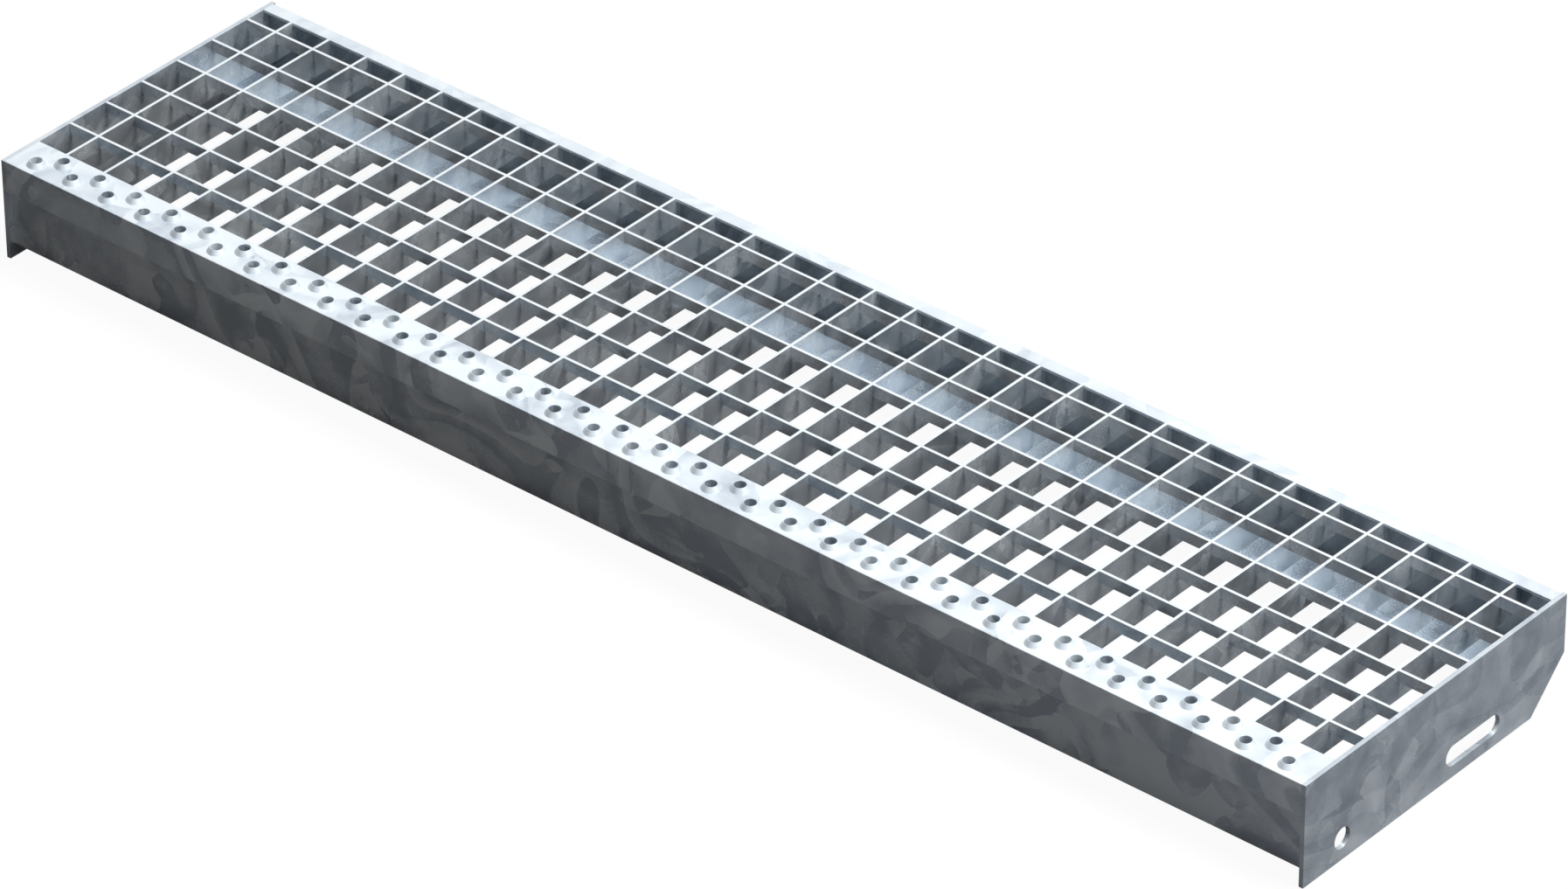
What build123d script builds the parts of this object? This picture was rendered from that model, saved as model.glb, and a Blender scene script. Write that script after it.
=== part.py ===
from build123d import *
from math import atan2, degrees
import os

# Galvanised grating stair tread with a perforated nosing, in millimetres.
# X runs along the tread, Y from the nosing to the back, Z up.
# The origin is midway between the ends and edges, at the foot of the end plates.
# Sections are drawn looking along the tread, so their own X and Y are the tread's Y and Z.

# Overall size
tread_length = 1000.0
tread_depth = 240.0
plate_height = 70.0

# End plates
plate_thickness = 3.0
rear_corner_cut = 30.0
fixing_diameter = 14.0
fixing_height = 15.0
fixing_from_front = 35.0
fixing_spacing = 120.0
slot_length = 50.0

# Nosing angle
nosing_thickness = 3.0
nosing_width = 30.0
nosing_drop = 21.5
edge_radius = 0.5

# Raised drain holes in the nosing, drawn with few sides because there are so many
hole_pitch = 30.0
hole_end_margin = 20.0
front_row_from_front = 10.0
rear_row_from_front = 20.0
rear_row_stagger = 13.5
hole_diameter = 7.5
rim_width = 0.5
raised_base_diameter = 12.5
raised_height = 3.0
hole_sides = 16

# Folded rail behind the nosing and folded rail at the back
sheet_thickness = 2.0
fold_radius = 2.0
front_rail_height = 60.0
front_rail_flange = 20.0
rear_inset = 1.5
rear_channel_height = 45.0
rear_top_flange = 9.0
rear_foot = 33.5

# Grating
bar_thickness = 2.0
cross_bar_depth = 20.0
long_bar_depth = 8.0
mesh_pitch = 31.5
mesh_shift = -1.0
smallest_end_cell = 20.0
first_long_bar_from_front = 57.5
smallest_back_cell = 10.0

# Places worked out from the sizes
front_y = -tread_depth / 2
back_y = tread_depth / 2
top_z = plate_height
inner_length = tread_length - 2 * plate_thickness
inner_left_x = -inner_length / 2
nosing_back_y = front_y + nosing_width
front_rail_y = front_y + nosing_thickness
front_rail_back_y = front_rail_y + sheet_thickness
rear_flange_back_y = back_y - rear_inset
rear_web_y = rear_flange_back_y - rear_top_flange


# End plates, with a round hole and a slot for the bolts to the stair string
with BuildPart() as side_plate_left:
    with BuildSketch(Plane.YZ.offset(-tread_length / 2)):
        with BuildLine():
            Polyline(
                (front_y, 0),
                (back_y - rear_corner_cut, 0),
                (back_y, rear_corner_cut),
                (back_y, top_z),
                (front_y, top_z),
                close=True,
            )
        make_face()
        with Locations((front_y + fixing_from_front, fixing_height)):
            Circle(fixing_diameter / 2, mode=Mode.SUBTRACT)
        with Locations((front_y + fixing_from_front + fixing_spacing, fixing_height)):
            SlotOverall(slot_length, fixing_diameter, mode=Mode.SUBTRACT)
    extrude(amount=plate_thickness)

with BuildPart() as side_plate_right:
    mirror(side_plate_left.part, about=Plane.YZ)


# Nosing: an angle between the end plates, with two staggered rows of raised holes
with BuildPart() as nosing:
    with BuildSketch(Plane.YZ.offset(inner_left_x)) as nosing_section:
        with BuildLine():
            Polyline(
                (front_y, top_z - nosing_drop),
                (front_y + nosing_thickness, top_z - nosing_drop),
                (front_y + nosing_thickness, top_z - nosing_thickness),
                (nosing_back_y, top_z - nosing_thickness),
                (nosing_back_y, top_z),
                (front_y, top_z),
                close=True,
            )
        make_face()
        nosing_corner = (front_y, top_z, 0)
        fillet(nosing_section.vertices().sort_by_distance(nosing_corner)[0], radius=edge_radius)
    extrude(amount=inner_length)

    row_length = tread_length - 2 * hole_end_margin
    front_row_steps = int(row_length // hole_pitch)
    rear_row_steps = int((row_length - rear_row_stagger) // hole_pitch)
    first_hole_x = -hole_pitch * front_row_steps / 2
    front_row = [
        (first_hole_x + hole_pitch * i, front_y + front_row_from_front)
        for i in range(front_row_steps + 1)
    ]
    rear_row = [
        (first_hole_x + rear_row_stagger + hole_pitch * i, front_y + rear_row_from_front)
        for i in range(rear_row_steps + 1)
    ]
    rim_radius = hole_diameter / 2 + rim_width
    raised_slope = degrees(atan2(raised_base_diameter / 2 - rim_radius, raised_height))
    with BuildSketch(Plane.XY.offset(top_z)):
        with Locations(*front_row, *rear_row):
            RegularPolygon(raised_base_diameter / 2, hole_sides)
    extrude(amount=raised_height, taper=raised_slope)
    with BuildSketch(Plane.XY.offset(top_z + raised_height)):
        with Locations(*front_row, *rear_row):
            RegularPolygon(hole_diameter / 2, hole_sides)
    extrude(amount=-(raised_height + nosing_thickness), mode=Mode.SUBTRACT)


# Front rail: an angle under the nosing, its web against the back of the nosing's drop
with BuildPart() as front_rail:
    rail_bottom_z = top_z - front_rail_height
    with BuildSketch(Plane.YZ.offset(inner_left_x)) as rail_section:
        with BuildLine():
            Polyline(
                (front_rail_y, rail_bottom_z),
                (front_rail_y + front_rail_flange, rail_bottom_z),
                (front_rail_y + front_rail_flange, rail_bottom_z + sheet_thickness),
                (front_rail_back_y, rail_bottom_z + sheet_thickness),
                (front_rail_back_y, top_z - nosing_thickness),
                (front_rail_y, top_z - nosing_thickness),
                close=True,
            )
        make_face()
        fold_inside = (front_rail_back_y, rail_bottom_z + sheet_thickness, 0)
        fillet(rail_section.vertices().sort_by_distance(fold_inside)[0], radius=fold_radius)
        fold_outside = (front_rail_y, rail_bottom_z, 0)
        fillet(rail_section.vertices().sort_by_distance(fold_outside)[0], radius=edge_radius)
    extrude(amount=inner_length)


# Rear rail: a narrow top flange flush with the grating and folded to the back,
# a web that the grating's deep bars stand against, and a foot folded to the front
with BuildPart() as rear_channel:
    foot_bottom_z = top_z - rear_channel_height
    foot_top_z = foot_bottom_z + sheet_thickness
    flange_bottom_z = top_z - sheet_thickness
    rear_web_back_y = rear_web_y + sheet_thickness
    with BuildSketch(Plane.YZ.offset(inner_left_x)) as channel_section:
        with BuildLine():
            Polyline(
                (rear_web_y, top_z),
                (rear_flange_back_y, top_z),
                (rear_flange_back_y, flange_bottom_z),
                (rear_web_back_y, flange_bottom_z),
                (rear_web_back_y, foot_bottom_z),
                (rear_web_y - rear_foot, foot_bottom_z),
                (rear_web_y - rear_foot, foot_top_z),
                (rear_web_y, foot_top_z),
                close=True,
            )
        make_face()
        for fold in ((rear_web_back_y, flange_bottom_z, 0), (rear_web_y, foot_top_z, 0)):
            fillet(channel_section.vertices().sort_by_distance(fold)[0], radius=fold_radius)
        for fold in ((rear_web_y, top_z, 0), (rear_web_back_y, foot_bottom_z, 0)):
            fillet(channel_section.vertices().sort_by_distance(fold)[0], radius=edge_radius)
    extrude(amount=inner_length)


# Grating panel: deep bars from the nosing to the rear rail, and shallow bars along the tread,
# fused where they cross with their tops level
with BuildPart() as grating_panel:
    cross_bar_length = rear_web_y - nosing_back_y
    cross_bar_middle_y = (rear_web_y + nosing_back_y) / 2
    cross_bar_steps = int((inner_length - 2 * smallest_end_cell - bar_thickness) // mesh_pitch)
    first_long_bar_y = front_y + first_long_bar_from_front
    last_long_bar_y = rear_web_y - smallest_back_cell
    long_bar_steps = int((last_long_bar_y - first_long_bar_y) // mesh_pitch)
    long_bars_middle_y = first_long_bar_y + mesh_pitch * long_bar_steps / 2
    with BuildSketch(Plane.XY.offset(top_z)):
        with Locations((mesh_shift, cross_bar_middle_y)):
            with GridLocations(mesh_pitch, 0, cross_bar_steps + 1, 1):
                Rectangle(bar_thickness, cross_bar_length)
    extrude(amount=-cross_bar_depth)
    with BuildSketch(Plane.XY.offset(top_z)):
        with Locations((0, long_bars_middle_y)):
            with GridLocations(0, mesh_pitch, 1, long_bar_steps + 1):
                Rectangle(inner_length, bar_thickness)
    extrude(amount=-long_bar_depth)


side_plate_left.part.label = "side_plate_left"
side_plate_right.part.label = "side_plate_right"
nosing.part.label = "nosing"
front_rail.part.label = "front_rail"
rear_channel.part.label = "rear_channel"
grating_panel.part.label = "grating_panel"

os.makedirs("parts", exist_ok=True)
for piece in (side_plate_left, side_plate_right, nosing, front_rail, rear_channel, grating_panel):
    export_step(piece.part, f"parts/{piece.part.label}.step")
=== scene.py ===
import math

import bmesh
import bpy
from mathutils import Matrix, Quaternion, Vector


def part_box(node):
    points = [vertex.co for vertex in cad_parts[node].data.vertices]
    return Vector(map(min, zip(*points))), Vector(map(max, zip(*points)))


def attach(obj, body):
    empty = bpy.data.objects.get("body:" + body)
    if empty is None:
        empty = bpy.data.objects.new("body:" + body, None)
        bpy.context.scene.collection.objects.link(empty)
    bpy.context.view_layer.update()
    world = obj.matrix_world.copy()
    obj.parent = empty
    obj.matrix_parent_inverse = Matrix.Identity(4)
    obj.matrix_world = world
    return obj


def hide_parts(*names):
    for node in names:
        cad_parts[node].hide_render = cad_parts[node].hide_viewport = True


bl_info = {
    "name": "Grating stair tread",
    "version": (1, 0, 0),
    "blender": (4, 5, 0),
    "location": "View3D > Sidebar > Stair tread",
    "description": "Finishes a galvanised grating stair tread with a perforated nosing",
    "category": "Object",
}

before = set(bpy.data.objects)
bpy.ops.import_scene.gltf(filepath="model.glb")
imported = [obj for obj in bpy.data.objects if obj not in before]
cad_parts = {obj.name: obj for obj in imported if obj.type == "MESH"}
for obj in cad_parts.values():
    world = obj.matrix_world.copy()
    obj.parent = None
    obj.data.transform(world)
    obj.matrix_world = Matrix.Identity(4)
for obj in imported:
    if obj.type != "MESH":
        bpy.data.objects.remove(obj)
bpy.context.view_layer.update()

MM = 0.001
SAME_PLACE = 0.001 * MM  # points nearer than this are at one place

# Shades of zinc, from 0 to 1, at which it takes its dark, its mid and its light colour
DARK, COMMON, PALE = 0.3, 0.5, 0.74

# Shade along the bands of a slow noise: each starts crisp and fades towards the next
BANDS = (
    (0.3, 0.5), (0.37, 0.34), (0.376, 0.8), (0.45, 0.5), (0.456, 0.24), (0.515, 0.46),
    (0.521, 0.84), (0.59, 0.44), (0.596, 0.2), (0.68, 0.55))

# What the coats of the bars and of their ends have in common
BAR_COAT = {"tint": (1.02, 1.0, 0.98), "gloss": (0.12, 0.3), "bold": 0.9, "clouding": 0.5}


def linear(hex_colour):
    """An sRGB hex colour as a linear one."""
    parts = [int(hex_colour[i:i + 2], 16) / 255 for i in (1, 3, 5)]
    return [p / 12.92 if p <= 0.04045 else ((p + 0.055) / 1.055) ** 2.4 for p in parts]


def add_node(tree, kind, settings=None, **links):
    """Adds a node. Settings are its own properties. Links are its inputs, by name or as i0, i1
    and so on by number, each a value or another node's socket."""
    node = tree.nodes.new(kind)
    for key, value in (settings or {}).items():
        setattr(node, key, value)
    for key, value in links.items():
        numbered = key[0] == "i" and key[1:].isdigit()
        socket = node.inputs[int(key[1:]) if numbered else key.replace("_", " ")]
        if isinstance(value, bpy.types.NodeSocket):
            tree.links.new(value, socket)
        else:
            socket.default_value = value
    return node


def new_material(name):
    """A material with an empty node tree and an output."""
    material = bpy.data.materials.new(name)
    material.use_nodes = True
    material.node_tree.nodes.clear()
    return material, add_node(material.node_tree, "ShaderNodeOutputMaterial")


def wear(obj, material):
    """Gives a piece one material in place of what it had."""
    obj.data.materials.clear()
    obj.data.materials.append(material)


class GalvanisedFinish(bpy.types.PropertyGroup):
    """The zinc coat of all the pieces."""

    light_zinc: bpy.props.FloatVectorProperty(
        name="Light zinc", description="Colour of the palest patches", subtype="COLOR",
        default=linear("#f1f6f9"))
    mid_zinc: bpy.props.FloatVectorProperty(
        name="Mid zinc", description="Colour of the common patches", subtype="COLOR",
        default=linear("#dfe6ec"))
    dark_zinc: bpy.props.FloatVectorProperty(
        name="Dark zinc", description="Colour of the darkest patches", subtype="COLOR",
        default=linear("#c5cdd6"))
    patch_size: bpy.props.FloatProperty(
        name="Patch size", description="Usual width of a zinc patch", unit="LENGTH",
        default=38 * MM)
    grain_size: bpy.props.FloatProperty(
        name="Grain size", description="Width of the fine grain", unit="LENGTH",
        default=0.9 * MM)


class NosingHoles(bpy.types.PropertyGroup):
    """Raised drain holes along the nosing."""

    pitch: bpy.props.FloatProperty(
        name="Pitch", description="From one hole of a row to the next", unit="LENGTH",
        default=30 * MM)
    front_row: bpy.props.FloatProperty(
        name="Front row", description="From the nosing's front face", unit="LENGTH",
        default=10 * MM)
    rear_row: bpy.props.FloatProperty(
        name="Rear row", description="From the nosing's front face", unit="LENGTH",
        default=20 * MM)
    stagger: bpy.props.FloatProperty(
        name="Stagger", description="Shift of the rear row along the tread", unit="LENGTH",
        default=13.5 * MM)
    front_count: bpy.props.IntProperty(
        name="Front count", description="Holes in the front row", default=33)
    rear_count: bpy.props.IntProperty(
        name="Rear count", description="Holes in the rear row", default=32)
    diameter: bpy.props.FloatProperty(
        name="Diameter", description="Clear opening", unit="LENGTH", default=7.5 * MM)
    base_diameter: bpy.props.FloatProperty(
        name="Base diameter", description="Foot of the raised cone", unit="LENGTH",
        default=12.5 * MM)
    height: bpy.props.FloatProperty(
        name="Height", description="Rise above the nosing", unit="LENGTH", default=3 * MM)
    sheet: bpy.props.FloatProperty(
        name="Sheet", description="Thickness of the nosing", unit="LENGTH", default=3 * MM)
    crease: bpy.props.FloatProperty(
        name="Crease radius", description="Rounding of the front edge", unit="LENGTH",
        default=0.5 * MM)
    steps: bpy.props.IntProperty(
        name="Steps", description="Sides of each round hole", default=48)


class RearRail(bpy.types.PropertyGroup):
    """Rail along the back, and the bars that end at it."""

    sheet: bpy.props.FloatProperty(
        name="Sheet", description="Thickness of the rail and of the bars", unit="LENGTH",
        default=2 * MM)
    fold: bpy.props.FloatProperty(
        name="Fold", description="Inside radius of the rail's fold", unit="LENGTH",
        default=1.5 * MM)
    edge: bpy.props.FloatProperty(
        name="Edge", description="Rounding of the rail's edges", unit="LENGTH",
        default=0.35 * MM)
    flange: bpy.props.FloatProperty(
        name="Flange", description="Width of the top flange", unit="LENGTH", default=9 * MM)
    overhang: bpy.props.FloatProperty(
        name="Overhang", description="From the flange's front edge back to the web",
        unit="LENGTH", default=3.5 * MM)
    bar_depth: bpy.props.FloatProperty(
        name="Bar depth", description="Depth of the bars from front to back", unit="LENGTH",
        default=20 * MM)
    mesh_pitch: bpy.props.FloatProperty(
        name="Mesh pitch", description="From one deep bar to the next", unit="LENGTH",
        default=31.5 * MM)
    mesh_shift: bpy.props.FloatProperty(
        name="Mesh shift", description="Place of the middle bar along the tread",
        unit="LENGTH", default=-1 * MM)
    bar_count: bpy.props.IntProperty(
        name="Bar count", description="Deep bars along the tread", default=31)


class Studio(bpy.types.PropertyGroup):
    """Camera, lamps, floor and background."""

    camera_place: bpy.props.FloatVectorProperty(
        name="Camera place", description="Where the camera stands", subtype="TRANSLATION",
        default=(2.98995, -3.44902, 3.10743))
    camera_aim: bpy.props.FloatVectorProperty(
        name="Camera aim", description="What the middle of the picture shows",
        subtype="TRANSLATION", default=(0.06347, -0.04939, 0.07))
    camera_roll: bpy.props.FloatProperty(
        name="Camera roll", description="Turn about the line of sight", subtype="ANGLE",
        default=math.radians(-0.4408))
    lens: bpy.props.FloatProperty(
        name="Lens", description="Focal length in millimetres for a 36 mm picture",
        default=215.08)
    lamp_width: bpy.props.FloatProperty(
        name="Lamp width", description="Width of each square softbox", unit="LENGTH",
        default=1.5)
    top_lamp: bpy.props.FloatProperty(
        name="Top lamp", description="Power of the softbox overhead", subtype="POWER",
        default=180)
    side_lamp: bpy.props.FloatProperty(
        name="Side lamp", description="Power of the softbox on the right", subtype="POWER",
        default=17)
    room_light: bpy.props.FloatProperty(
        name="Room light", description="Level of the light all round", default=0.17)
    card_front: bpy.props.FloatVectorProperty(
        name="Card front", description="Grey of the floor card at the front left",
        subtype="COLOR", default=linear("#5d5b5a"))
    card_back: bpy.props.FloatVectorProperty(
        name="Card back", description="Grey of the floor card at the back right",
        subtype="COLOR", default=linear("#717276"))


def galvanised(
        name, tone=1.0, tint=(1, 1, 1), shine=(0.85, 0.5), gloss=(0.16, 0.36), bold=1.0,
        clouding=0.3, grain=0.0, foot_paling=0.0, painted_top_light=0.0):
    """Hot-dip galvanised steel: zinc frozen in wide patches of unlike shine, with small pale
    flakes among them.

    Tone and tint scale its colours. Shine is how metallic and gloss how rough its dark and its
    pale zinc are. Bold is the contrast of the patches, clouding the share of soft clouds over
    them, and grain the strength of the fine grain. The last two say how much paler its lowest
    part is made, in a plain gradient towards the foot, and how much paler its upward faces are
    made, as painted light from above.
    """
    finish = bpy.context.scene.tread_finish
    size = finish.patch_size
    bands_a_metre, patches_a_metre, fades_a_metre = 0.42 / size, 1.2 / size, 0.8 / size
    clouds_a_metre, flakes_a_metre, grains_a_metre = 1.6 / size, 4.2 / size, 1 / finish.grain_size
    smooth, mix = {"interpolation_type": "SMOOTHSTEP"}, {"data_type": "FLOAT"}
    plus, minus, times = {"operation": "ADD"}, {"operation": "SUBTRACT"}, {"operation": "MULTIPLY"}
    times_plus, scaled = {"operation": "MULTIPLY_ADD"}, {"operation": "SCALE"}
    material, output = new_material(name)
    tree = material.node_tree
    place = add_node(tree, "ShaderNodeTexCoord").outputs["Object"]

    # Melted outlines: each band of a slow noise is a patch
    flow = add_node(
        tree, "ShaderNodeTexNoise", Vector=place, Scale=bands_a_metre, Detail=0.6,
        Roughness=0.4, Distortion=0.35)
    bands = add_node(tree, "ShaderNodeValToRGB", Fac=flow.outputs["Fac"])
    stops = bands.color_ramp.elements
    for stop, (position, level) in zip(stops, (BANDS[0], BANDS[-1])):
        stop.position, stop.color = position, (level, level, level, 1)
    for position, level in BANDS[1:-1]:
        stops.new(position).color = (level, level, level, 1)

    # Wide patches with straighter sides, crisp in some places and lost in others
    waver = add_node(
        tree, "ShaderNodeTexNoise", Vector=place, Scale=patches_a_metre, Detail=0.6,
        Roughness=0.4)
    centred = add_node(
        tree, "ShaderNodeVectorMath", minus, i0=waver.outputs["Color"], i1=(0.5, 0.5, 0.5))
    shift = add_node(
        tree, "ShaderNodeVectorMath", scaled, i0=centred.outputs[0], Scale=0.8 * size)
    wavered = add_node(
        tree, "ShaderNodeVectorMath", plus, i0=place, i1=shift.outputs[0]).outputs[0]
    patches = add_node(tree, "ShaderNodeTexVoronoi", Vector=wavered, Scale=patches_a_metre)
    patch = add_node(tree, "ShaderNodeSeparateColor", Color=patches.outputs["Color"])
    faded = add_node(
        tree, "ShaderNodeTexNoise", Vector=place, Scale=fades_a_metre, Detail=1.0)
    crisp = add_node(
        tree, "ShaderNodeMapRange", smooth, Value=faded.outputs["Fac"], From_Min=0.42,
        From_Max=0.55, To_Min=0.1, To_Max=0.8)
    patch_shade = add_node(
        tree, "ShaderNodeMix", mix, i0=crisp.outputs[0], i2=COMMON, i3=patch.outputs["Red"])
    shade = add_node(
        tree, "ShaderNodeMix", mix, i0=0.5, i2=patch_shade.outputs[0],
        i3=bands.outputs["Color"])

    # Soft clouds over both
    clouds = add_node(
        tree, "ShaderNodeTexNoise", Vector=place, Scale=clouds_a_metre, Detail=4.0,
        Roughness=0.55)
    shade = add_node(
        tree, "ShaderNodeMix", mix, i0=clouding, i2=shade.outputs[0],
        i3=clouds.outputs["Fac"])

    # Small flakes in clusters, a little paler
    flake_lift = 0.12
    cells = add_node(tree, "ShaderNodeTexVoronoi", Vector=wavered, Scale=flakes_a_metre)
    cell = add_node(tree, "ShaderNodeSeparateColor", Color=cells.outputs["Color"])
    flake = add_node(
        tree, "ShaderNodeMapRange", smooth, Value=cell.outputs["Green"], From_Min=0.45,
        From_Max=1.0)
    cluster = add_node(
        tree, "ShaderNodeMapRange", smooth, Value=faded.outputs["Fac"], From_Min=0.48,
        From_Max=0.62, To_Min=0.1, To_Max=1.0)
    flakes = add_node(
        tree, "ShaderNodeMath", times, i0=flake.outputs[0], i1=cluster.outputs[0])
    shade = add_node(
        tree, "ShaderNodeMath", times_plus, i0=flakes.outputs[0], i1=flake_lift,
        i2=shade.outputs[0])

    # More or less contrast about the common shade
    even = add_node(tree, "ShaderNodeMath", minus, i0=shade.outputs[0], i1=COMMON)
    shade = add_node(
        tree, "ShaderNodeMath", times_plus, i0=even.outputs[0], i1=bold, i2=COMMON)

    # Fine grain
    grains = add_node(
        tree, "ShaderNodeTexNoise", Vector=place, Scale=grains_a_metre, Detail=2.0)
    if grain:
        even = add_node(tree, "ShaderNodeMath", minus, i0=shade.outputs[0], i1=grain / 2)
        shade = add_node(
            tree, "ShaderNodeMath", times_plus, i0=grains.outputs["Fac"], i1=grain,
            i2=even.outputs[0])

    # The shade rises towards the foot: paler over the lowest 32 mm, fully so at 2 mm
    if foot_paling:
        paling_full_at, paling_starts_at = 2 * MM, 32 * MM
        height = add_node(tree, "ShaderNodeSeparateXYZ", Vector=place)
        paling = add_node(
            tree, "ShaderNodeMapRange", smooth, Value=height.outputs["Z"],
            From_Min=paling_starts_at, From_Max=paling_full_at, To_Max=foot_paling)
        shade = add_node(
            tree, "ShaderNodeMath", plus, i0=paling.outputs[0], i1=shade.outputs[0])

    # Painted light: faces that look up are made paler, standing in for the light from above
    if painted_top_light:
        normal = add_node(tree, "ShaderNodeNewGeometry").outputs["Normal"]
        facing = add_node(tree, "ShaderNodeSeparateXYZ", Vector=normal)
        lit_from_above = add_node(
            tree, "ShaderNodeMapRange", Value=facing.outputs["Z"], From_Min=0.6,
            From_Max=0.9, To_Max=painted_top_light)
        shade = add_node(
            tree, "ShaderNodeMath", plus, i0=lit_from_above.outputs[0], i1=shade.outputs[0])

    ramp = add_node(tree, "ShaderNodeValToRGB", Fac=shade.outputs[0])
    stops = ramp.color_ramp.elements
    stops[0].position, stops[1].position = DARK, PALE
    stops.new(COMMON)
    for stop, colour in zip(stops, (finish.dark_zinc, finish.mid_zinc, finish.light_zinc)):
        stop.color = [c * tone * t for c, t in zip(colour, tint)] + [1]

    # Pale patches are dull: they mirror less and scatter more
    metal = add_node(
        tree, "ShaderNodeMapRange", Value=shade.outputs[0], From_Min=DARK, From_Max=PALE,
        To_Min=shine[0], To_Max=shine[1])
    rough = add_node(
        tree, "ShaderNodeMapRange", Value=shade.outputs[0], From_Min=DARK, From_Max=PALE,
        To_Min=gloss[0], To_Max=gloss[1])
    bump = add_node(
        tree, "ShaderNodeBump", Strength=0.2, Distance=0.04 * MM,
        Height=grains.outputs["Fac"])
    steel = add_node(
        tree, "ShaderNodeBsdfPrincipled", Base_Color=ramp.outputs["Color"],
        Metallic=metal.outputs[0], Roughness=rough.outputs[0], Normal=bump.outputs[0])
    tree.links.new(steel.outputs[0], output.inputs["Surface"])
    return material


def pull_section(bm, corners, start, end):
    """Pulls a flat section, given by its corners (y, z), along the tread from one x to
    another."""
    section = bm.faces.new([bm.verts.new((start, y, z)) for y, z in corners])
    pulled = bmesh.ops.extrude_face_region(bm, geom=[section])
    moved = [g for g in pulled["geom"] if isinstance(g, bmesh.types.BMVert)]
    bmesh.ops.translate(bm, verts=moved, vec=(end - start, 0, 0))


def at_height(part, z):
    """Whether a face or an edge lies flat at a height."""
    return all(abs(v.co.z - z) < SAME_PLACE for v in part.verts)


def round_edge(bm, y, z, radius, segments):
    """Rounds the edge that runs along the tread at y and z."""
    edge = [
        e for e in bm.edges
        if at_height(e, z) and all(abs(v.co.y - y) < SAME_PLACE for v in e.verts)]
    bmesh.ops.bevel(
        bm, geom=edge, offset=radius, offset_type="OFFSET", affect="EDGES",
        segments=segments, profile=0.5, material=-1)


def raise_hole(bm, holes, x, y, top):
    """Turns the profile of a raised hole once round: up the cone, over its rim and down through
    the sheet."""
    foot, opening = holes.base_diameter / 2, holes.diameter / 2
    rim, turn = 0.5 * MM, 0.12 * MM
    profile = (
        (foot, 0),
        (opening + rim, holes.height - turn),
        (opening + rim - turn, holes.height),
        (opening + turn, holes.height),
        (opening, holes.height - turn),
        (opening, -holes.sheet),
    )
    points = [bm.verts.new((x + r, y, top + z)) for r, z in profile]
    lines = [bm.edges.new(pair) for pair in zip(points, points[1:])]
    bmesh.ops.spin(
        bm, geom=points + lines, cent=(x, y, 0), axis=(0, 0, 1), angle=2 * math.pi,
        steps=holes.steps, use_merge=True)


def fill_round_holes(bm, z, round_faces):
    """Fills a flat side of the sheet again, round its holes."""
    flat = [f for f in bm.faces if f not in round_faces and at_height(f, z)]
    outline = {e for f in flat for e in f.edges}
    bmesh.ops.delete(bm, geom=flat, context="FACES_ONLY")
    edges = [e for e in bm.edges if e in outline or (e.is_boundary and at_height(e, z))]
    bmesh.ops.triangle_fill(bm, use_beauty=True, edges=edges, normal=(0, 0, 1))


def mesh_object(name, bm, crisp=None):
    """A finished mesh as an object at the origin. It is smooth where crisp is given, apart from
    edges sharper than that many degrees."""
    mesh = bpy.data.meshes.new(name)
    if crisp:
        for face in bm.faces:
            face.smooth = True
    bm.to_mesh(mesh)
    bm.free()
    if crisp:
        mesh.set_sharp_from_angle(angle=math.radians(crisp))
    obj = bpy.data.objects.new(name, mesh)
    bpy.context.scene.collection.objects.link(obj)
    return obj


class TREAD_OT_end_plates(bpy.types.Operator):
    """Gives both end plates their zinc coat"""

    bl_idname = "tread.end_plates"
    bl_label = "End plates"

    def execute(self, context):
        coat = galvanised(
            "Galvanised steel end plate", tone=0.88, bold=0.95, clouding=0.5, foot_paling=0.1)
        for node in ("side_plate_left", "side_plate_right"):
            wear(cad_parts[node], coat)
        return {"FINISHED"}


class TREAD_OT_nosing(bpy.types.Operator):
    """Makes the nosing angle with its two rows of raised round holes"""

    bl_idname = "tread.nosing"
    bl_label = "Nosing"

    def execute(self, context):
        holes = context.scene.tread_holes
        low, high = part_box("nosing")
        front, back, top = low.y, high.y, high.z - holes.height
        under = top - holes.sheet
        bm = bmesh.new()
        first_x = -holes.pitch * (holes.front_count - 1) / 2
        rows = (
            (0, holes.front_row, holes.front_count),
            (holes.stagger, holes.rear_row, holes.rear_count),
        )
        for shift, row, count in rows:
            for i in range(count):
                raise_hole(bm, holes, first_x + shift + holes.pitch * i, front + row, top)
        round_faces = set(bm.faces)

        # The angle, whose top and underside are filled again round the holes
        corners = [
            (front, low.z), (front + holes.sheet, low.z), (front + holes.sheet, under),
            (back, under), (back, top), (front, top)]
        pull_section(bm, corners, low.x, high.x)
        round_edge(bm, front, top, holes.crease, segments=3)
        for z in (top, under):
            fill_round_holes(bm, z, round_faces)
        bmesh.ops.recalc_face_normals(bm, faces=bm.faces)
        open_edges = sum(not e.is_manifold for e in bm.edges)
        if open_edges:
            raise RuntimeError(f"the nosing isn't closed: it has {open_edges} open edges")

        nosing = mesh_object("nosing_angle", bm, crisp=28)
        # Painted light: the nosing's upward faces are made paler, as if lit from above
        wear(nosing, galvanised(
            "Galvanised steel nosing", shine=(0.6, 0.3), gloss=(0.25, 0.4), bold=2.0,
            clouding=0.35, painted_top_light=0.18))
        # The raised cones and rims get a rougher, less metallic coat, a little darker (tone 0.94)
        # as painted shade on their sloping sides
        nosing.data.materials.append(galvanised(
            "Galvanised steel raised edges", tone=0.94, shine=(0.3, 0.1), gloss=(0.35, 0.5),
            bold=0.5, clouding=0.6))
        raised_slot, raised_from = 1, top + 0.05 * MM
        for face in nosing.data.polygons:
            if face.center.z > raised_from:
                face.material_index = raised_slot
        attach(nosing, "root")
        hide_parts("nosing")
        return {"FINISHED"}


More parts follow.
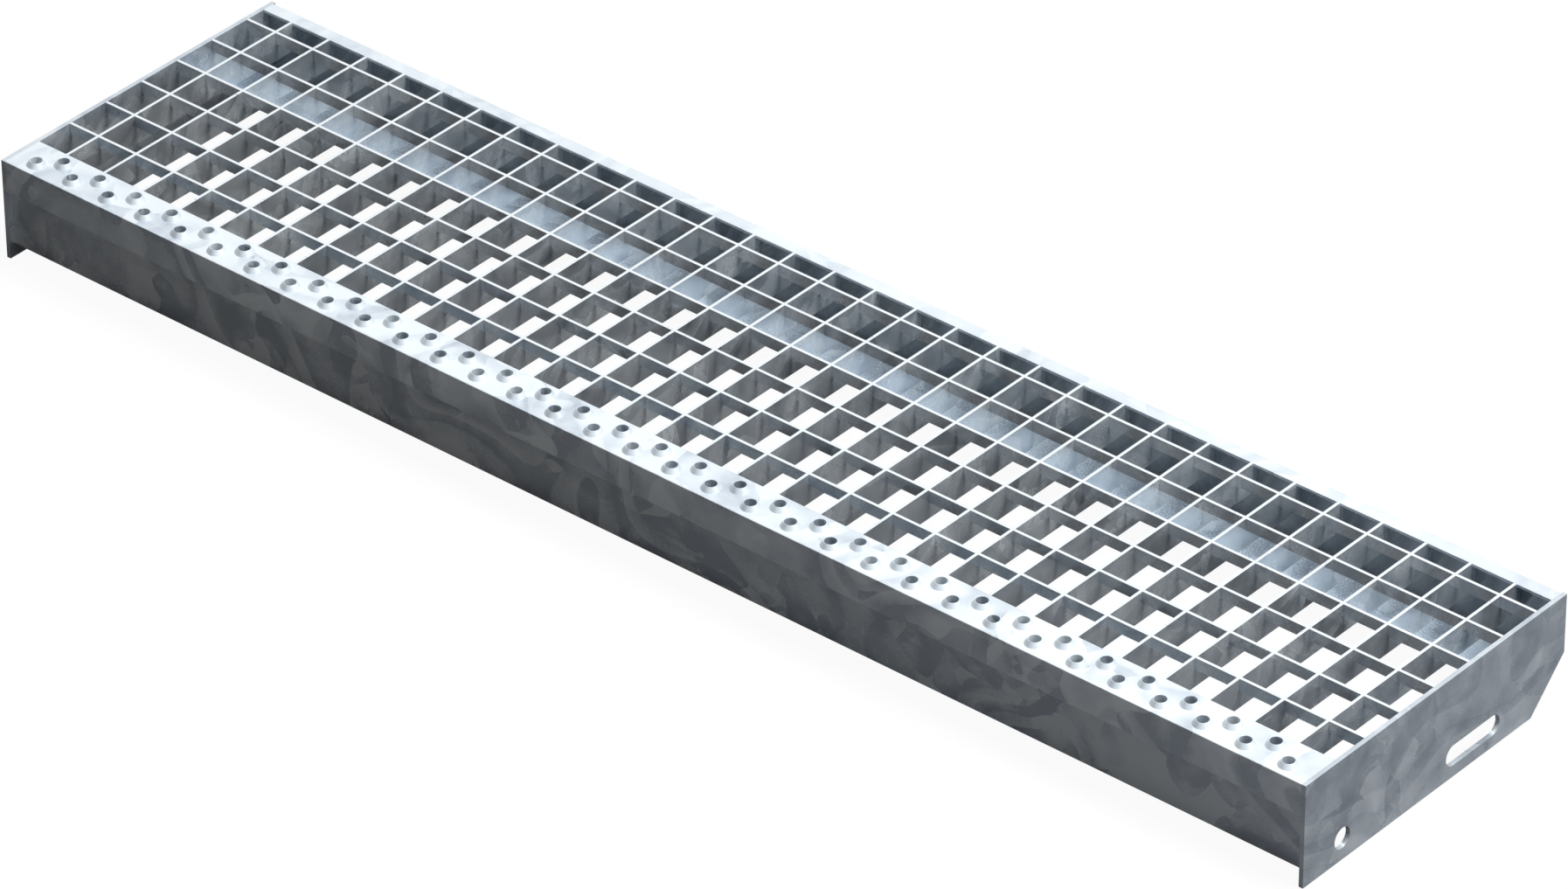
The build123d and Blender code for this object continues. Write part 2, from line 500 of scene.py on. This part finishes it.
class TREAD_OT_front_rail(bpy.types.Operator):
    """Gives the rail under the nosing its zinc coat, made darker as painted shade where it sits
    back under the nosing
    """

    bl_idname = "tread.front_rail"
    bl_label = "Front rail"

    def execute(self, context):
        # Painted shade: the coat is made darker (tone 0.84) for the shade under the nosing
        wear(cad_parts["front_rail"], galvanised(
            "Galvanised steel front rail in painted shade", tone=0.84, bold=2.2, clouding=0.35))
        return {"FINISHED"}


class TREAD_OT_rear_channel(bpy.types.Operator):
    """Makes the rear rail, with its overhanging flange, and the ends of the deep bars under it"""

    bl_idname = "tread.rear_channel"
    bl_label = "Rear rail"

    def execute(self, context):
        rail = context.scene.tread_rear_rail
        low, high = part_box("rear_channel")
        flange_front = high.y - rail.flange
        web = flange_front + rail.overhang
        web_back = web + rail.sheet
        foot_top, flange_bottom = low.z + rail.sheet, high.z - rail.sheet
        inner_fold, outer_fold = (web, foot_top), (web_back, low.z)
        corners = [
            (flange_front, high.z), (high.y, high.z), (high.y, flange_bottom),
            (web_back, flange_bottom), outer_fold, (low.y, low.z), (low.y, foot_top),
            inner_fold, (web, flange_bottom), (flange_front, flange_bottom)]
        bm = bmesh.new()
        pull_section(bm, corners, low.x, high.x)
        bmesh.ops.recalc_face_normals(bm, faces=bm.faces)
        round_edge(bm, *inner_fold, rail.fold, segments=4)
        round_edge(bm, *outer_fold, rail.fold + rail.sheet, segments=5)
        for corner in corners:
            if corner not in (inner_fold, outer_fold):
                round_edge(bm, *corner, rail.edge, segments=2)

        # The web and the foot, seen through the grating, get coats of their own: the web much
        # darker as painted shade, the foot darker and bluer as painted shade and painted cool
        # light
        piece = mesh_object("rear_rail", bm, crisp=30)
        # Painted light: the rail's upward faces are made paler, as if lit from above
        wear(piece, galvanised(
            "Galvanised steel rear rail", shine=(0.6, 0.3), gloss=(0.25, 0.4), painted_top_light=0.14))
        # Painted shade: a much darker copy of the coat (tone 0.29) for the web under the grating
        piece.data.materials.append(galvanised(
            "Galvanised steel rear web in painted shade", tone=0.29, tint=(1.04, 1.0, 0.96),
            shine=(0.98, 0.9), gloss=(0.1, 0.18), clouding=0.7, grain=0.4))
        # Painted shade and painted cool light: a darker, bluer copy of the coat for the foot
        piece.data.materials.append(galvanised(
            "Galvanised steel rear foot in painted shade and cool light", tone=0.85, tint=(0.91, 0.98, 1.06),
            shine=(0.6, 0.3), gloss=(0.2, 0.35), clouding=0.5, grain=0.6))
        web_slot, foot_slot = 1, 2
        for face in piece.data.polygons:
            faces_front, faces_up = face.normal.y < -0.5, face.normal.z > 0.5
            if faces_front and foot_top < face.center.z < flange_bottom:
                face.material_index = web_slot
            elif faces_up and face.center.z < foot_top + rail.fold:
                face.material_index = foot_slot
        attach(piece, "root")
        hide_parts("rear_channel")

        # The deep bars run on under the flange as far as the web
        bars_bottom = high.z - rail.bar_depth
        size = Vector((rail.sheet, rail.overhang, flange_bottom - bars_bottom))
        y, z = (flange_front + web) / 2, (flange_bottom + bars_bottom) / 2
        bm = bmesh.new()
        for i in range(rail.bar_count):
            x = rail.mesh_shift + rail.mesh_pitch * (i - (rail.bar_count - 1) / 2)
            place = Matrix.LocRotScale(Vector((x, y, z)), None, size)
            bmesh.ops.create_cube(bm, size=1, matrix=place)
        ends = mesh_object("bar_ends", bm)
        wear(ends, galvanised(
            "Galvanised steel bar ends", shine=(0.92, 0.62), grain=0.14, **BAR_COAT))
        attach(ends, "root")
        return {"FINISHED"}


class TREAD_OT_grating(bpy.types.Operator):
    """Gives the bars of the grating their zinc coat"""

    bl_idname = "tread.grating"
    bl_label = "Grating"

    def execute(self, context):
        # Painted light: the bars' top faces are made much paler, as if lit from above
        wear(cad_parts["grating_panel"], galvanised(
            "Galvanised steel bars", shine=(0.9, 0.56), grain=0.18, painted_top_light=0.3, **BAR_COAT))
        return {"FINISHED"}


def set_camera(scene, studio):
    """The camera, at the photo's viewing angle."""
    data = bpy.data.cameras.new("Camera")
    data.lens, data.sensor_width, data.clip_end = studio.lens, 36, 100
    camera = bpy.data.objects.new("Camera", data)
    sight = Vector(studio.camera_aim) - Vector(studio.camera_place)
    roll = Quaternion((0, 0, 1), studio.camera_roll)
    camera.location = studio.camera_place
    camera.rotation_mode = "QUATERNION"
    camera.rotation_quaternion = sight.to_track_quat("-Z", "Y") @ roll
    scene.collection.objects.link(camera)
    scene.camera = camera


def softbox(name, place, width, power, colour):
    """A square area lamp that faces the tread."""
    data = bpy.data.lights.new(name, "AREA")
    data.size, data.energy, data.color = width, power, colour
    lamp = bpy.data.objects.new(name, data)
    lamp.location = place
    lamp.rotation_mode = "QUATERNION"
    lamp.rotation_quaternion = (-Vector(place)).to_track_quat("-Z", "Y")
    bpy.context.scene.collection.objects.link(lamp)


def flat_sheet(name, width, height):
    """A square sheet lying flat, which is no part of the tread."""
    bm = bmesh.new()
    place = Matrix.Translation((0, 0, height))
    bmesh.ops.create_grid(bm, x_segments=1, y_segments=1, size=width / 2, matrix=place)
    obj = mesh_object(name, bm)
    return obj


def seen_or_mirrored(tree):
    """1 where a ray comes from the camera or off a mirror or glass, and 0 where it only carries
    soft light."""
    path = add_node(tree, "ShaderNodeLightPath")
    either = add_node(
        tree, "ShaderNodeMath", {"operation": "MAXIMUM"},
        i0=path.outputs["Is Camera Ray"], i1=path.outputs["Is Glossy Ray"])
    return add_node(
        tree, "ShaderNodeMath", {"operation": "MAXIMUM"},
        i0=either.outputs[0], i1=path.outputs["Is Transmission Ray"]).outputs[0]


def light_room(scene, studio):
    """The room: white to the eye, a slightly cool white to the metal, and a soft grey as a
    light."""
    cool_white, white = (0.94, 0.965, 1.0, 1), (1, 1, 1, 1)
    world = bpy.data.worlds.new("Studio")
    scene.world = world
    world.use_nodes = True
    tree = world.node_tree
    tree.nodes.clear()
    strength = add_node(
        tree, "ShaderNodeMapRange", Value=seen_or_mirrored(tree), To_Min=studio.room_light,
        To_Max=1.0)
    seen = add_node(tree, "ShaderNodeLightPath").outputs["Is Camera Ray"]
    colour = add_node(
        tree, "ShaderNodeMix", {"data_type": "RGBA"}, i0=seen, i6=cool_white, i7=white)
    room = add_node(
        tree, "ShaderNodeBackground", Color=colour.outputs[2], Strength=strength.outputs[0])
    output = add_node(tree, "ShaderNodeOutputWorld")
    tree.links.new(room.outputs[0], output.inputs["Surface"])


def lay_floor():
    """A floor painted white: it shows near white with a faint shadow, and lights the tread no
    more than a pale floor does."""
    floor = flat_sheet("Floor", width=40, height=-1 * MM)
    paint, output = new_material("White painted floor")
    tree = paint.node_tree
    glow = add_node(
        tree, "ShaderNodeEmission", Color=[*linear("#ffffff"), 1], Strength=0.95)
    matt = add_node(tree, "ShaderNodeBsdfDiffuse", Color=[*linear("#454545"), 1])
    shown = add_node(tree, "ShaderNodeAddShader", i0=glow.outputs[0], i1=matt.outputs[0])
    plain = add_node(tree, "ShaderNodeBsdfDiffuse", Color=[*linear("#bcbcbc"), 1])
    both = add_node(
        tree, "ShaderNodeMixShader", i0=seen_or_mirrored(tree), i1=plain.outputs[0],
        i2=shown.outputs[0])
    tree.links.new(both.outputs[0], output.inputs["Surface"])
    wear(floor, paint)


def set_cards(studio):
    """Two cards that the metal mirrors and the camera doesn't see: a grey one on the floor,
    darker at the front left, and a black flag that stands there."""
    card = flat_sheet("Dark card", width=6, height=-0.2 * MM)
    board, output = new_material("Grey card")
    tree = board.node_tree
    place = add_node(tree, "ShaderNodeTexCoord").outputs["Object"]
    across = add_node(
        tree, "ShaderNodeVectorMath", {"operation": "DOT_PRODUCT"}, i0=place,
        i1=(0.7, 0.7, 0))
    share = add_node(
        tree, "ShaderNodeMapRange", Value=across.outputs["Value"], From_Min=-0.2,
        From_Max=0.6)
    shade = add_node(
        tree, "ShaderNodeMix", {"data_type": "RGBA"}, i0=share.outputs[0],
        i6=[*studio.card_front, 1], i7=[*studio.card_back, 1])
    grey = add_node(tree, "ShaderNodeBsdfDiffuse", Color=shade.outputs[2])
    tree.links.new(grey.outputs[0], output.inputs["Surface"])
    wear(card, board)

    flag = flat_sheet("Black flag", width=3.2, height=0)
    stand = Vector((-2.0, -2.3, 1.9))
    flag.data.transform(stand.to_track_quat("Z", "Y").to_matrix().to_4x4())
    flag.data.transform(Matrix.Translation(stand))
    felt, output = new_material("Black felt")
    black = add_node(
        felt.node_tree, "ShaderNodeBsdfDiffuse", Color=[*linear("#303030"), 1])
    felt.node_tree.links.new(black.outputs[0], output.inputs["Surface"])
    wear(flag, felt)
    for hidden in (card, flag):
        hidden.visible_camera = False
        hidden.visible_shadow = False


class TREAD_OT_stage(bpy.types.Operator):
    """Sets the camera, the lamps, the pale floor and the white background"""

    bl_idname = "tread.stage"
    bl_label = "Stage"

    def execute(self, context):
        scene = context.scene
        studio = scene.tread_studio
        set_camera(scene, studio)
        softbox(
            "Top softbox", place=(1.4, 0.5, 4.0), width=studio.lamp_width,
            power=studio.top_lamp, colour=(0.955, 0.99, 1.0))
        softbox(
            "Side softbox", place=(2.6, 0.5, 1.3), width=studio.lamp_width,
            power=studio.side_lamp, colour=(0.93, 0.955, 1.0))
        light_room(scene, studio)
        lay_floor()
        set_cards(studio)
        scene.view_settings.view_transform = "Standard"
        return {"FINISHED"}


class TREAD_PT_panel(bpy.types.Panel):
    """The tread's pieces and settings"""

    bl_idname = "TREAD_PT_panel"
    bl_label = "Stair tread"
    bl_space_type = "VIEW_3D"
    bl_region_type = "UI"
    bl_category = "Stair tread"

    def draw(self, context):
        for step in steps:
            self.layout.operator(step.bl_idname)
        for name, group in groups:
            box = self.layout.box()
            for setting in group.__annotations__:
                box.prop(getattr(context.scene, name), setting)


steps = (
    TREAD_OT_end_plates, TREAD_OT_nosing, TREAD_OT_front_rail, TREAD_OT_rear_channel,
    TREAD_OT_grating, TREAD_OT_stage)
groups = (
    ("tread_finish", GalvanisedFinish), ("tread_holes", NosingHoles),
    ("tread_rear_rail", RearRail), ("tread_studio", Studio))


def register():
    """Registers the property groups, the operators and the panel."""
    for name, group in groups:
        bpy.utils.register_class(group)
        setattr(bpy.types.Scene, name, bpy.props.PointerProperty(type=group))
    for cls in (*steps, TREAD_PT_panel):
        bpy.utils.register_class(cls)


def unregister():
    """Takes away what register added."""
    for cls in (TREAD_PT_panel, *reversed(steps)):
        bpy.utils.unregister_class(cls)
    for name, group in reversed(groups):
        delattr(bpy.types.Scene, name)
        bpy.utils.unregister_class(group)


def main():
    """Builds the tread and its stage."""
    register()
    bpy.ops.tread.end_plates()
    bpy.ops.tread.nosing()
    bpy.ops.tread.front_rail()
    bpy.ops.tread.rear_channel()
    bpy.ops.tread.grating()
    bpy.ops.tread.stage()


if __name__ == "__main__":
    main()
